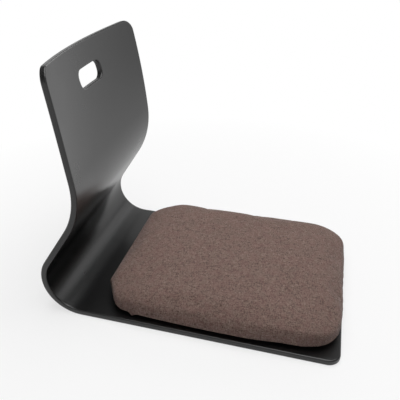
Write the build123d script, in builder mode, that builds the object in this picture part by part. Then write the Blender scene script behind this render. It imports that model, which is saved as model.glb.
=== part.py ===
from build123d import *
import math
import os

# Legless floor chair: a moulded plywood shell with a grip hole and a lift-off seat cushion.
# Millimetres. +Z is up, the sitter faces -Y, and +X is the sitter's left hand.
# The origin lies on the floor under the middle of the shell.

# ---------------------------------------------------------------- shell
face_veneer = 0.9            # thickness of each outer veneer
core_ply = 1.3               # thickness of each inner ply
core_ply_count = 7
glue_line = 0.02             # glue film between two layers
seat_length = 469.0          # flat run, front edge to the start of the rear bend
front_width = 360.0
bend_width = 365.0           # width at the rear bend
waist_width = 354.0          # narrowest part of the back
shoulder_width = 360.0       # widest part of the back
top_width = 349.0            # width at the top edge
bend_radius = 60.0           # rear bend, on the sitter's face
bend_angle = 122.5           # how far the bend turns, so the lower back leans forward
lean_length = 82.0           # straight run between the two bends
lumbar_radius = 166.0        # counter bend, on the sitter's face
lumbar_angle = 38.5
upper_radius = 1900.0        # the upper back is nearly straight
upper_length = 187.0
dish_start = 28.0            # where the hollow of the back begins, past the rear bend
dish_depth = 26.0            # hollow across the back at its top edge
waist_place = 105.0          # past the rear bend
shoulder_place = 235.0       # past the rear bend
front_corner = 22.0
top_corner = 24.0
grip_length = 85.0
grip_height = 33.5
grip_corner = 14.0
grip_drop = 59.0             # middle of the grip hole below the top edge

# ---------------------------------------------------------------- cushion
cushion_width = 350.0
cushion_length = 428.0
cushion_front_gap = 5.0      # seat left bare in front of the cushion
cushion_corner = 62.0
cover_cloth = 1.2            # the cover's face cloth with its lining
base_cloth = 1.2
foam_clearance = 0.3
hem_inset = 11.0             # how far the sides draw in to the base seam
roll_height = 10.0           # height of the rounded lower edge
side_height = 27.0           # where the upright side ends
crown_inset = 150.0          # where the crown has levelled out
crown_rise = 25.0            # from the end of the upright side to the very top
crown_fullness = 1.6         # how quickly the top levels out
crown_steps = 12
crown_crowding = 1.4         # how closely the cross sections crowd towards the side
crown_flat = 1.0             # half width left flat at the very top, at least
hem_roll = 0.28              # share of the hem's inset left halfway up the rounded lower edge

# ---------------------------------------------------------------- hook and loop fastening
patch_width = 50.0
patch_length = 30.0
patch_corner = 3.0
hook_thickness = 1.2
loop_thickness = 1.5
patch_side_spacing = 230.0
patch_depth_spacing = 300.0

# ---------------------------------------------------------------- zip in the rear of the cover
zip_length = 224.0
zip_height = 18.5            # middle of the zip above the base cloth
tape_width = 6.0
tape_thickness = 0.6
coil_width = 2.2
coil_thickness = 2.0
coil_gap = 1.0               # running gap that the slider's web passes along
coil_pitch = 2.8
coil_notch = 0.7
window_height = 12.0
window_margin = 4.0
window_reach = 6.0           # how far out of the tape the window is cut, past the bulge of the cloth
zip_clearance = 0.3
pocket_margin = 3.0
stop_length = 3.0
slider_length = 10.0
slider_width = 9.0
slider_plate = 1.1
flange_width = 0.9
flange_gap = 1.2
web_thickness = 0.5
ear_thickness = 1.0
ear_length = 3.2
ear_spacing = 5.0            # between the ears' middles
pin_diameter = 1.4
pin_height = 4.1             # above the tape's middle
bore_diameter = 1.7
eye_diameter = 3.0
pull_length = 21.0
pull_width = 6.0
pull_thickness = 1.2
pull_neck = 3.4
neck_length = 3.4
pull_hole = 2.6
slider_corner = 1.5
slider_end_gap = 0.5         # between the slider and the stop when the zip is shut

# ---------------------------------------------------------------- worked out from the above
shell_thickness = 2 * face_veneer + core_ply_count * core_ply + (core_ply_count + 1) * glue_line
shell_depth = seat_length + bend_radius + shell_thickness
front_y = -shell_depth / 2
bend_y = front_y + seat_length
bend_turn = math.radians(bend_angle)
lumbar_turn = math.radians(lumbar_angle)
runs = [
    (bend_radius * bend_turn, 1 / bend_radius),
    (lean_length, 0.0),
    (lumbar_radius * lumbar_turn, -1 / lumbar_radius),
    (upper_length, -1 / upper_radius),
]
bend_run = runs[0][0]
back_run = sum(length for length, curvature in runs)
base_z = shell_thickness + hook_thickness + loop_thickness
cushion_rear_y = front_y + cushion_front_gap + cushion_length
cushion_middle_y = front_y + cushion_front_gap + cushion_length / 2
crown_height = side_height + crown_rise
tape_y = cushion_rear_y - cover_cloth - zip_clearance - tape_thickness / 2
zip_z = base_z + zip_height
plate_middle = coil_thickness / 2 + zip_clearance + slider_plate / 2
plate_top = plate_middle + slider_plate / 2
pocket_depth = plate_top + pocket_margin
pocket_length = zip_length + 2 * stop_length + 2 * window_margin
pocket_height = 2 * (coil_gap / 2 + coil_width + tape_width) + 2 * window_margin
window_length = zip_length + 2 * window_margin
coil_turns = int(zip_length / coil_pitch) - 1
slider_x = zip_length / 2 - slider_length / 2 - slider_end_gap
slider_web = slider_length - 2 * slider_corner
flange_depth = plate_middle - flange_gap / 2
flange_middle = (plate_middle + flange_gap / 2) / 2
pull_plate = pull_length - neck_length

os.makedirs("parts", exist_ok=True)


def station(distance):
    """Place and heading on the sitter's face, this far past the start of the rear bend."""
    y, z, heading = bend_y, shell_thickness, 0.0
    for length, curvature in runs:
        step = min(distance, length)
        turn = curvature * step
        if curvature:
            y += (math.sin(heading + turn) - math.sin(heading)) / curvature
            z -= (math.cos(heading + turn) - math.cos(heading)) / curvature
        else:
            y += step * math.cos(heading)
            z += step * math.sin(heading)
        heading += turn
        distance -= step
        if distance <= 0:
            break
    return y, z, heading


def ease(share):
    """Smooth change from 0 to 1."""
    share = min(max(share, 0.0), 1.0)
    return share * share * (3 - 2 * share)


def back_width(past_bend):
    """Width of the shell this far past the end of the rear bend."""
    top_place = back_run - bend_run
    if past_bend < waist_place:
        return bend_width + (waist_width - bend_width) * ease(past_bend / waist_place)
    if past_bend < shoulder_place:
        share = (past_bend - waist_place) / (shoulder_place - waist_place)
        return waist_width + (shoulder_width - waist_width) * ease(share)
    share = (past_bend - shoulder_place) / (top_place - shoulder_place)
    return shoulder_width + (top_width - shoulder_width) * share ** 2


def back_dish(past_bend):
    """Depth of the hollow across the back, this far past the end of the rear bend."""
    return dish_depth * ease((past_bend - dish_start) / (back_run - bend_run - dish_start))


def back_places():
    """Distances past the rear bend at which the back's cross sections are drawn."""
    places = [0.0]
    for (length, curvature), count in zip(runs[1:], (4, 6, 6)):
        start = places[-1]
        places += [start + length * (i + 1) / count for i in range(count)]
    return places


def seat_outline():
    """Plan of the seat and the rear bend, with rounded front corners, as a tall prism."""
    rear_y = -front_y + shell_thickness
    with BuildPart() as prism:
        with BuildSketch() as plan:
            with BuildLine():
                Polyline(
                    (-front_width / 2, front_y),
                    (front_width / 2, front_y),
                    (bend_width / 2, bend_y),
                    (bend_width / 2, rear_y),
                    (-bend_width / 2, rear_y),
                    (-bend_width / 2, bend_y),
                    close=True,
                )
            make_face()
            fillet(plan.vertices().group_by(Axis.Y)[0], front_corner)
        extrude(amount=3 * bend_radius)
    return prism.part


def across_back(y, z, heading):
    """Plane lying on the back at a station, facing rearwards, its own Y down the back."""
    return Plane((0, y, z), x_dir=(1, 0, 0), z_dir=(0, math.sin(heading), -math.cos(heading)))


def top_corner_waste():
    """What is sawn off at the two top corners."""
    top_y, top_z, heading = station(back_run)
    middle = back_width(back_run - bend_run - top_corner) / 2 - top_corner
    with BuildPart() as waste:
        with BuildSketch(across_back(top_y, top_z, heading)):
            for side in (-1, 1):
                with Locations((side * (middle + top_corner), 0)):
                    Rectangle(2 * top_corner, 2 * top_corner)
            with Locations((-middle, top_corner), (middle, top_corner)):
                Circle(top_corner, mode=Mode.SUBTRACT)
        extrude(amount=3 * dish_depth, both=True)
    return waste.part


def grip_plug():
    """The grip hole, as the plug that it leaves."""
    y, z, heading = station(back_run - grip_drop)
    with BuildPart() as plug:
        with BuildSketch(across_back(y, z, heading)):
            RectangleRounded(grip_length, grip_height, grip_corner)
        extrude(amount=3 * dish_depth, both=True)
    return plug.part


outline_prism = seat_outline()
corner_waste = top_corner_waste()
grip_hole = grip_plug()


def moulded_layer(depth, thickness):
    """One layer of the shell: depth is how far it lies under the sitter's face."""
    inner = bend_radius + depth
    outer = inner + thickness
    with BuildPart() as layer:
        with BuildSketch(Plane.YZ):
            with BuildLine():
                upper = Line((front_y, shell_thickness - depth), (bend_y, shell_thickness - depth))
                inner_bend = CenterArc((bend_y, shell_thickness + bend_radius), inner, -90, bend_angle)
                outer_bend = CenterArc((bend_y, shell_thickness + bend_radius), outer, -90, bend_angle)
                Line(inner_bend @ 1, outer_bend @ 1)
                lower = Line(outer_bend @ 0, (front_y, shell_thickness - depth - thickness))
                Line(lower @ 1, upper @ 0)
            make_face()
        extrude(amount=bend_width / 2, both=True)
        add(outline_prism, mode=Mode.INTERSECT)
        for place in back_places():
            y, z, heading = station(bend_run + place)
            half = back_width(place) / 2
            hollow = 2 * back_dish(place)
            cross = Plane((0, y, z), x_dir=(1, 0, 0), z_dir=(0, math.cos(heading), math.sin(heading)))
            with BuildSketch(cross):
                with BuildLine():
                    front = Bezier((-half, depth), (0, depth + hollow), (half, depth))
                    rear = Bezier(
                        (half, depth + thickness), (0, depth + thickness + hollow), (-half, depth + thickness)
                    )
                    Line(front @ 1, rear @ 0)
                    Line(rear @ 1, front @ 0)
                make_face()
        loft()
        add(corner_waste, mode=Mode.SUBTRACT)
        add(grip_hole, mode=Mode.SUBTRACT)
    return layer.part


def save(part, name):
    part.label = name
    export_step(part, f"parts/{name}.step")


# ---------------------------------------------------------------- the shell's veneers and plies
save(moulded_layer(0.0, face_veneer), "face_veneer")
for number in range(core_ply_count):
    depth = face_veneer + glue_line + number * (core_ply + glue_line)
    save(moulded_layer(depth, core_ply), f"core_ply_{number + 1}")
save(moulded_layer(shell_thickness - face_veneer, face_veneer), "back_veneer")


# ---------------------------------------------------------------- hook and loop patches
def patches(bottom, thickness):
    """Four patches of fastening tape, near the corners of the cushion."""
    with BuildPart() as tape:
        with BuildSketch(Plane.XY.offset(bottom)):
            with Locations((0, cushion_middle_y)):
                with GridLocations(patch_side_spacing, patch_depth_spacing, 2, 2):
                    RectangleRounded(patch_width, patch_length, patch_corner)
        extrude(amount=thickness)
    return tape.part


save(patches(shell_thickness, hook_thickness), "seat_hook_patches")
save(patches(shell_thickness + hook_thickness, loop_thickness), "cushion_loop_patches")


# ---------------------------------------------------------------- cushion
def cushion_form(shrink, bottom):
    """The cushion's crowned form, smaller all round by shrink, standing at this level."""
    rings = [(hem_inset, 0.0), (hem_inset * hem_roll, roll_height / 2)]
    rings += [(0.0, height) for height in (roll_height, (roll_height + side_height) / 2, side_height)]
    for i in range(1, crown_steps + 1):
        share = (i / crown_steps) ** crown_crowding
        rise = crown_rise * math.sqrt(1 - (1 - share) ** crown_fullness)
        rings.append((crown_inset * share, side_height + rise))
    lift = bottom - base_z
    squeeze = (crown_height - lift - shrink) / crown_height
    with BuildPart() as form:
        for inset, height in rings:
            side = inset + shrink
            corner = min(cushion_corner, cushion_width / 2 - side - crown_flat) - shrink
            with BuildSketch(Plane.XY.offset(bottom + height * squeeze)):
                with Locations((0, cushion_middle_y)):
                    RectangleRounded(cushion_width - 2 * side, cushion_length - 2 * side, corner)
        loft()
    return form.part


def rear_box(length, height, near, far):
    """A box in the cushion's rear side, at the zip's height, between two distances behind the tape."""
    with BuildPart() as box:
        with BuildSketch(Plane.XZ.offset(-(tape_y + far))):
            with Locations((0, zip_z)):
                Rectangle(length, height)
        extrude(amount=far - near)
    return box.part


cover_bottom = base_z + base_cloth
outer_form = cushion_form(0.0, cover_bottom)
inner_form = cushion_form(cover_cloth, cover_bottom)
foam_form = cushion_form(cover_cloth + foam_clearance, cover_bottom + foam_clearance)

with BuildPart() as foam_core:
    add(foam_form)
    add(rear_box(pocket_length, pocket_height, -pocket_depth, window_reach), mode=Mode.SUBTRACT)
save(foam_core.part, "foam_core")

# The cover is the space between two forms, closed by a narrow rim round its open underside.
outer_faces = outer_form.faces().sort_by(Axis.Z)
inner_faces = inner_form.faces().sort_by(Axis.Z)
cover_rim = Face(outer_faces[0].outer_wire(), [inner_faces[0].outer_wire()])
cover_skin = Solid(Shell([cover_rim] + outer_faces[1:] + inner_faces[1:]))

with BuildPart() as cover_top:
    add(cover_skin)
    add(rear_box(window_length, window_height, -pocket_depth, window_reach), mode=Mode.SUBTRACT)
save(cover_top.part, "cover_top")

with BuildPart() as cover_base:
    with BuildSketch(Plane.XY.offset(base_z)):
        with Locations((0, cushion_middle_y)):
            RectangleRounded(
                cushion_width - 2 * hem_inset, cushion_length - 2 * hem_inset, cushion_corner
            )
    extrude(amount=base_cloth)
save(cover_base.part, "cover_base")


# ---------------------------------------------------------------- zip: tapes, coils and end stops
def strip(lower, width, thickness):
    """A strip along the zip, with its lower edge this far above the zip's middle."""
    with BuildPart() as band:
        with BuildSketch(Plane.XZ.offset(-(tape_y + thickness / 2))):
            with Locations((0, zip_z + lower + width / 2)):
                Rectangle(zip_length, width)
        extrude(amount=thickness)
    return band.part


def coil(lower):
    """One row of the coil: a bead with a notch between each two turns."""
    with BuildPart() as row:
        add(strip(lower, coil_width, coil_thickness))
        with BuildSketch(Plane.XZ.offset(-(tape_y + coil_thickness / 2))):
            with Locations((0, zip_z + lower + coil_width / 2)):
                with GridLocations(coil_pitch, coil_width, coil_turns, 1):
                    Rectangle(coil_notch, coil_width)
        extrude(amount=coil_notch, mode=Mode.SUBTRACT)
    return row.part


tape_edge = coil_gap / 2 + coil_width
save(strip(tape_edge, tape_width, tape_thickness), "zip_tape_upper")
save(strip(-tape_edge - tape_width, tape_width, tape_thickness), "zip_tape_lower")
save(coil(coil_gap / 2), "zip_coil_upper")
save(coil(-tape_edge), "zip_coil_lower")

with BuildPart() as zip_stops:
    with BuildSketch(Plane.XZ.offset(-(tape_y + coil_thickness / 2))):
        with Locations((0, zip_z)):
            with GridLocations(zip_length + stop_length, 1, 2, 1):
                Rectangle(stop_length, 2 * tape_edge)
    extrude(amount=coil_thickness)
save(zip_stops.part, "zip_end_stops")

# ---------------------------------------------------------------- zip: slider and pull
with BuildPart() as zip_slider:
    plate_places = [(plate_middle, slider_plate), (-plate_middle, slider_plate)]
    for middle, thickness in plate_places:
        with Locations((slider_x, tape_y + middle, zip_z)):
            Box(slider_length, thickness, slider_width)
    fillet(zip_slider.edges().filter_by(Axis.Y), slider_corner)
    with Locations((slider_x, tape_y, zip_z)):
        Box(slider_web, 2 * plate_middle, web_thickness)
        for side in (-1, 1):
            for face in (-1, 1):
                with Locations((0, face * flange_middle, side * (slider_width - flange_width) / 2)):
                    Box(slider_web, flange_depth, flange_width)
    for side in (-1, 1):
        with Locations((slider_x, tape_y + (plate_top + pin_height) / 2, zip_z + side * ear_spacing / 2)):
            Box(ear_length, pin_height - plate_top, ear_thickness)
        with Locations((slider_x, tape_y + pin_height, zip_z + side * ear_spacing / 2)):
            Cylinder(ear_length / 2, ear_thickness)
    with Locations((slider_x, tape_y + pin_height, zip_z)):
        Cylinder(pin_diameter / 2, ear_spacing)
save(zip_slider.part, "zip_slider")

with BuildPart() as zip_pull:
    with BuildSketch(Plane.XZ.offset(-(tape_y + pin_height + pull_thickness / 2))):
        with Locations((slider_x - neck_length / 2, zip_z)):
            Rectangle(neck_length, pull_neck)
        with Locations((slider_x - neck_length - pull_plate / 2, zip_z)):
            RectangleRounded(pull_plate, pull_width, pull_width / 3)
        with Locations((slider_x - pull_length + pull_width / 2, zip_z)):
            Circle(pull_hole / 2, mode=Mode.SUBTRACT)
    extrude(amount=pull_thickness)
    with Locations((slider_x, tape_y + pin_height, zip_z)):
        Cylinder(eye_diameter / 2, pull_neck)
        Cylinder(bore_diameter / 2, 2 * pull_neck, mode=Mode.SUBTRACT)
save(zip_pull.part, "zip_pull")
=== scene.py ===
import math
import bmesh
import bpy
import numpy as np
from mathutils import Matrix, Vector


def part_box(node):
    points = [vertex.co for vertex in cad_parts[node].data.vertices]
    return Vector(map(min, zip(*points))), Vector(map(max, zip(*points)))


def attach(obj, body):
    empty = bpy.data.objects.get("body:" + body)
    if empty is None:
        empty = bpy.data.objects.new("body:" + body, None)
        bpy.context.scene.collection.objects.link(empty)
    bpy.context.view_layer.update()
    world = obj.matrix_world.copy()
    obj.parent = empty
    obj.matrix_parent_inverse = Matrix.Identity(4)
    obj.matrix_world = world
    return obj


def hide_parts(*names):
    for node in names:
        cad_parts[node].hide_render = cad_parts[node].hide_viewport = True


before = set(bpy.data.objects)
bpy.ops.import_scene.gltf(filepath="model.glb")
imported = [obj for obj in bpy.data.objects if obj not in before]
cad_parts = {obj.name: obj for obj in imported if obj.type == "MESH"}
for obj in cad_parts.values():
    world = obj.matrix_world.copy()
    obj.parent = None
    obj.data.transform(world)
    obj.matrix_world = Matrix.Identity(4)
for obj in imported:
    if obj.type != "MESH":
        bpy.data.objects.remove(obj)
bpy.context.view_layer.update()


# Metres throughout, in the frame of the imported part: the sitter faces -Y and +Z is up.
def ease(share):
    # three times the square minus twice the cube, between 0 and 1
    share = np.clip(share, 0, 1)
    return share * share * (3 - 2 * share)


def makeMesh(name, points, quads, extraFaces=()):
    mesh = bpy.data.meshes.new(name)
    faces = np.asarray(quads).reshape(-1, 4).tolist() + [list(face) for face in extraFaces]
    mesh.from_pydata(np.asarray(points).reshape(-1, 3).tolist(), [], faces)
    mesh.validate()
    piece = bpy.data.objects.new(name, mesh)
    bpy.context.collection.objects.link(piece)
    return piece


def weld(piece, distance=2e-6):
    # merges doubles and turns every face outwards
    work = bmesh.new()
    work.from_mesh(piece.data)
    bmesh.ops.remove_doubles(work, verts=work.verts, dist=distance)
    bmesh.ops.recalc_face_normals(work, faces=work.faces)
    work.to_mesh(piece.data)
    work.free()
    return piece


def smooth(piece):
    piece.data.polygons.foreach_set("use_smooth", np.ones(len(piece.data.polygons), dtype=bool))
    return piece


def vertexArray(piece):
    points = np.empty(len(piece.data.vertices) * 3)
    piece.data.vertices.foreach_get("co", points)
    return points.reshape(-1, 3)


def setVertices(piece, points):
    piece.data.vertices.foreach_set("co", np.asarray(points, dtype=float).ravel())
    piece.data.update()


def addAttribute(piece, name, values):
    values = np.asarray(values, dtype=np.float32)
    kind, key = ("FLOAT_VECTOR", "vector") if values.ndim == 2 else ("FLOAT", "value")
    layer = piece.data.attributes.new(name, kind, "POINT")
    layer.data.foreach_set(key, values.ravel())


def gridQuads(rows, columns, start=0, closed=False):
    # quads between the points of a grid that is stored row by row
    i, j = np.meshgrid(np.arange(rows - 1), np.arange(columns if closed else columns - 1), indexing="ij")
    after = (j + 1) % columns
    here = start + i * columns
    return np.stack([here + j, here + after, here + columns + after, here + columns + j], -1).reshape(-1, 4)


def roundedLoop(halfX, halfY, radius, countX, countY):
    # A rounded rectangle as one closed loop, anticlockwise. Each side runs from the middle of one corner arc to
    # the middle of the next, in equal steps of length, so that loops of other sizes match it point for point.
    points, normals = [], []
    sides = [(halfX, halfY, countX), (halfY, halfX, countY)] * 2
    for turn, (along, out, count) in zip((0, 90, 180, 270), sides):
        arc = radius * math.pi / 4
        straight = max(2 * (along - radius), 0)
        place = np.arange(count) / count * (2 * arc + straight)
        angle = np.radians(-135 + np.clip(place / max(arc, 1e-9), 0, 1) * 45)
        angle = angle + np.radians(np.clip((place - arc - straight) / max(arc, 1e-9), 0, 1) * 45)
        shift = np.clip(place - arc, 0, straight)
        px = -along + radius + shift + radius * np.cos(angle)
        py = -out + radius + radius * np.sin(angle)
        c, s = math.cos(math.radians(turn)), math.sin(math.radians(turn))
        points.append(np.stack([px * c - py * s, px * s + py * c], -1))
        nx, ny = np.cos(angle), np.sin(angle)
        normals.append(np.stack([nx * c - ny * s, nx * s + ny * c], -1))
    return np.concatenate(points), np.concatenate(normals)


def threadLoops(path, normals, pitch, length, radius):
    # Stitches laid end to end along a path: each is an ellipsoid, a little flattened, with its long axis on the path.
    reach = np.concatenate([[0], np.cumsum(np.linalg.norm(np.diff(path, axis=0), axis=1))])
    count = int(round(reach[-1] / pitch))
    middle = (np.arange(count) + 0.5) * reach[-1] / count

    def sample(values, place):
        return np.stack([np.interp(place, reach, values[:, k]) for k in range(3)], -1)

    ahead = sample(path, middle + length / 2) - sample(path, middle - length / 2)
    ahead /= np.linalg.norm(ahead, axis=1, keepdims=True)
    up = sample(normals, middle)
    side = np.cross(up, ahead)
    cuts = 6
    angle = np.linspace(0, math.pi, cuts)[:, None]
    turn = np.arange(cuts)[None] / cuts * 2 * math.pi
    local = [
        length / 2 * np.cos(angle) + 0 * turn,
        radius * np.sin(angle) * np.cos(turn),
        radius * np.sin(angle) * np.sin(turn),
    ]
    u, v, w = (part.ravel()[None, :, None] for part in local)
    points = sample(path, middle)[:, None] + u * ahead[:, None] + v * side[:, None] + 0.7 * w * up[:, None]
    quads = gridQuads(cuts, cuts, 0, True)[None] + (np.arange(count) * cuts ** 2)[:, None, None]
    return points.reshape(-1, 3), quads.reshape(-1, 4)


def joinPatches(name, patches, distance=2e-6):
    # several point and quad arrays as one welded, smooth piece
    starts = np.cumsum([0] + [len(points) for points, quads in patches[:-1]])
    quads = np.concatenate([quads + start for start, (points, quads) in zip(starts, patches)])
    return smooth(weld(makeMesh(name, np.concatenate([points for points, quads in patches]), quads), distance))


def finishPiece(piece, body, material, replaced=()):
    piece.data.materials.append(material)
    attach(piece, body)
    if replaced:
        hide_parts(*replaced)
    print("made", piece.name, "faces", len(piece.data.polygons))
    return piece


class Wires:
    # short calls that add nodes to one tree and join them up
    def __init__(self, tree):
        self.tree = tree

    def add(self, kind, settings=None, **inputs):
        node = self.tree.nodes.new("ShaderNode" + kind)
        for key, value in (settings or {}).items():
            setattr(node, key, value)
        for key, value in inputs.items():
            self.feed(node, key.replace("_", " "), value)
        return node

    def feed(self, node, key, value):
        # i0, i1 and so on name a socket by its number, where several share one name
        socket = node.inputs[int(key[1:])] if key[0] == "i" and key[1:].isdigit() else node.inputs[key]
        if isinstance(value, bpy.types.NodeSocket):
            self.tree.links.new(value, socket)
        else:
            socket.default_value = value

    def math(self, operation, first, second=0.0, third=0.0):
        return self.add("Math", {"operation": operation}, i0=first, i1=second, i2=third).outputs[0]

    def blend(self, share, first, second):
        return self.add("Mix", {"data_type": "FLOAT"}, i0=share, i2=first, i3=second).outputs[0]

    def mix(self, share, first, second):
        return self.add("Mix", {"data_type": "RGBA"}, i0=share, i6=first, i7=second).outputs[2]

    def spread(self, value, low, high, toLow=0.0, toHigh=1.0):
        node = self.add("MapRange", None, Value=value)
        for key, number in (("From Min", low), ("From Max", high), ("To Min", toLow), ("To Max", toHigh)):
            node.inputs[key].default_value = number
        return node.outputs[0]

    def noise(self, place, scale, detail=1.0, roughness=0.5):
        return self.add("TexNoise", None, Vector=place, Scale=scale, Detail=detail, Roughness=roughness).outputs[0]

    def scaled(self, place, x, y, z):
        # the place stretched along each axis
        return self.add("VectorMath", {"operation": "MULTIPLY"}, i0=place, i1=(x, y, z)).outputs[0]

    def shade(self, color, amount):
        return self.add("VectorMath", {"operation": "SCALE"}, i0=color, Scale=amount).outputs[0]


def newGroup(name, inputs, outputs=("Color", "Roughness", "Height")):
    group = bpy.data.node_groups.new(name, "ShaderNodeTree")
    for label, kind, value in inputs:
        socket = group.interface.new_socket(name=label, in_out="INPUT", socket_type="NodeSocket" + kind)
        if value is not None:
            socket.default_value = value
    for label in outputs:
        kind = "NodeSocketColor" if label == "Color" else "NodeSocketFloat"
        group.interface.new_socket(name=label, in_out="OUTPUT", socket_type=kind)
    return group, Wires(group), group.nodes.new("NodeGroupInput"), group.nodes.new("NodeGroupOutput")


def threadGroup():
    # Plain weave. Warp threads run along y and weft threads along x of the place, each a round bead, one over the
    # other in turn. Every thread has its own tone, which drifts along it in slubs, and the dye is a little uneven.
    group, w, given, result = newGroup("wovenThreads", [
        ("Place", "Vector", None), ("Pitch", "Float", 0.001), ("Slub", "Float", 1.0), ("Cloud", "Float", 0.3),
        ("Dark", "Color", (0.1, 0.07, 0.06, 1)), ("Light", "Color", (0.2, 0.15, 0.13, 1)),
        ("Tint", "Color", (0.1, 0.1, 0.1, 1)), ("Tinted", "Float", 0.2),
    ])
    place = given.outputs["Place"]
    wander = w.noise(place, 28.0)
    shift = w.math("MULTIPLY_ADD", wander, 0.0012, -0.0006)
    parts = w.add("SeparateXYZ", None, Vector=place)
    across = w.math("DIVIDE", w.math("ADD", parts.outputs[0], shift), given.outputs["Pitch"])
    along = w.math("DIVIDE", w.math("ADD", parts.outputs[1], shift), given.outputs["Pitch"])
    warpNumber, weftNumber = w.math("FLOOR", across), w.math("FLOOR", along)
    warpRound = w.math("SINE", w.math("MULTIPLY", w.math("FRACT", across), math.pi))
    weftRound = w.math("SINE", w.math("MULTIPLY", w.math("FRACT", along), math.pi))
    turn = w.math("MODULO", w.math("ADD", w.math("ADD", warpNumber, weftNumber), 100000.0), 2.0)
    over = w.math("GREATER_THAN", turn, 0.5)
    warpTop = w.math("MULTIPLY", warpRound, w.math("MULTIPLY_ADD", weftRound, 0.45, 0.55))
    weftTop = w.math("MULTIPLY", weftRound, w.math("MULTIPLY_ADD", warpRound, 0.45, 0.55))
    height = w.blend(over, warpTop, weftTop)

    def slubs(number, distance, seed):
        lane, reach = w.math("MULTIPLY", number, 3.71), w.math("MULTIPLY", distance, 0.16)
        return w.noise(w.add("CombineXYZ", None, X=lane, Y=reach, Z=seed).outputs[0], 1.0, 2.0, 0.7)

    warpShade, weftShade = slubs(warpNumber, along, 1.3), slubs(weftNumber, across, 7.9)
    average = w.math("MULTIPLY", w.math("ADD", warpShade, weftShade), 0.5)
    top = w.blend(over, warpShade, weftShade)
    shade = w.math("MULTIPLY", w.math("SUBTRACT", w.blend(0.45, average, top), 0.5), given.outputs["Slub"])
    cloud = w.math("MULTIPLY", w.math("SUBTRACT", w.noise(place, 34.0, 2.0), 0.5), given.outputs["Cloud"])
    shade = w.math("ADD", w.math("ADD", shade, cloud), 0.42)
    inside = w.math("MINIMUM", w.math("MAXIMUM", shade, 0.0), 1.0)
    color = w.mix(inside, given.outputs["Dark"], given.outputs["Light"])
    dye = w.spread(w.noise(place, 70.0, 1.0), 0.42, 0.62)
    color = w.mix(w.math("MULTIPLY", dye, given.outputs["Tinted"]), color, given.outputs["Tint"])
    # the colour is darkened by up to a third where the round threads dip between crossings: painted shade in the
    # weave's hollows, on top of the bump
    w.feed(result, "Color", w.shade(color, w.math("MULTIPLY_ADD", height, 0.35, 0.65)))
    w.feed(result, "Height", w.math("ADD", height, w.math("MULTIPLY", shade, 0.4)))
    w.feed(result, "Roughness", w.spread(height, 0, 1, 1.0, 0.86))
    return group


def plyGroup():
    # Lacquered veneer: pores stretched along the sheet, cloudy gloss and a fine orange peel. On the rim the plies
    # show as faint bands with a groove at each glue line, because every other ply is cut across its grain.
    group, w, given, result = newGroup("lacqueredPly", [
        ("Place", "Vector", None), ("Rim", "Float", 0.0), ("Ply", "Float", 0.00132), ("Gloss", "Float", 0.3),
        ("Base", "Color", (0.01, 0.01, 0.01, 1)), ("Worn", "Color", (0.03, 0.028, 0.026, 1)),
    ])
    place, worn = given.outputs["Place"], given.outputs["Worn"]
    parts = w.add("SeparateXYZ", None, Vector=place)
    pores = w.noise(w.scaled(place, 900.0, 18.0, 900.0), 1.0, 3.0, 0.6)
    peel, cloud, fibre = w.noise(place, 260.0), w.noise(place, 9.0, 4.0, 0.6), w.noise(place, 1400.0, 2.0)
    ply = w.math("ADD", w.math("DIVIDE", parts.outputs[2], given.outputs["Ply"]), 0.3)
    onRim = w.math("GREATER_THAN", given.outputs["Rim"], 0.6)
    band = w.math("MULTIPLY", w.math("GREATER_THAN", w.math("MODULO", ply, 2.0), 1.0), onRim)
    glue = w.math("GREATER_THAN", w.math("ABSOLUTE", w.math("SUBTRACT", w.math("FRACT", ply), 0.5)), 0.44)
    rough = w.math("MULTIPLY_ADD", w.math("SUBTRACT", cloud, 0.5), 0.10, given.outputs["Gloss"])
    rough = w.math("ADD", rough, w.math("MULTIPLY", band, 0.08))
    rough = w.math("ADD", rough, w.math("MULTIPLY", w.math("MULTIPLY", onRim, fibre), 0.10))
    wear = w.math("MULTIPLY", w.spread(cloud, 0.52, 0.75), w.spread(given.outputs["Rim"], 0.05, 0.9))
    color = w.mix(w.math("MULTIPLY", wear, 0.5), given.outputs["Base"], worn)
    color = w.mix(w.math("MULTIPLY", band, 0.25), color, worn)
    height = w.math("ADD", w.math("MULTIPLY", pores, 0.25), w.math("MULTIPLY", peel, 0.35))
    height = w.math("SUBTRACT", height, w.math("MULTIPLY", w.math("MULTIPLY", glue, onRim), 0.9))
    height = w.math("ADD", height, w.math("MULTIPLY", w.math("MULTIPLY", band, fibre), 0.5))
    w.feed(result, "Color", color)
    w.feed(result, "Roughness", rough)
    w.feed(result, "Height", height)
    return group


def pileGroup():
    # hook or loop tape: cells on a jittered grid, each a tuft, its colour lighter at its tip and darker on the ground
    # between tufts as painted light and shade
    group, w, given, result = newGroup("pileTape", [
        ("Place", "Vector", None), ("Pitch", "Float", 0.0011), ("Jitter", "Float", 0.3),
        ("Ground", "Color", (0.01, 0.01, 0.01, 1)), ("Tip", "Color", (0.06, 0.06, 0.06, 1)),
    ])
    place = w.add("VectorMath", {"operation": "DIVIDE"}, i0=given.outputs["Place"]).outputs[0]
    divisor = w.add("CombineXYZ", None, X=given.outputs["Pitch"], Y=given.outputs["Pitch"], Z=given.outputs["Pitch"])
    w.feed(place.node, "i1", divisor.outputs[0])
    cells = w.add("TexVoronoi", None, Vector=place, Scale=1.0, Randomness=given.outputs["Jitter"]).outputs["Distance"]
    tuft = w.spread(cells, 0.55, 0.1)
    fuzz = w.noise(place, 3.0, 3.0, 0.7)
    height = w.math("MULTIPLY_ADD", fuzz, 0.5, w.math("MULTIPLY", tuft, 0.8))
    # painted light on the tuft tips and painted shade on the ground between them
    tipped = w.math("MULTIPLY", tuft, w.spread(fuzz, 0.25, 0.75))
    w.feed(result, "Color", w.mix(tipped, given.outputs["Ground"], given.outputs["Tip"]))
    w.feed(result, "Roughness", w.spread(fuzz, 0, 1, 0.7, 1.0))
    w.feed(result, "Height", height)
    return group


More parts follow.
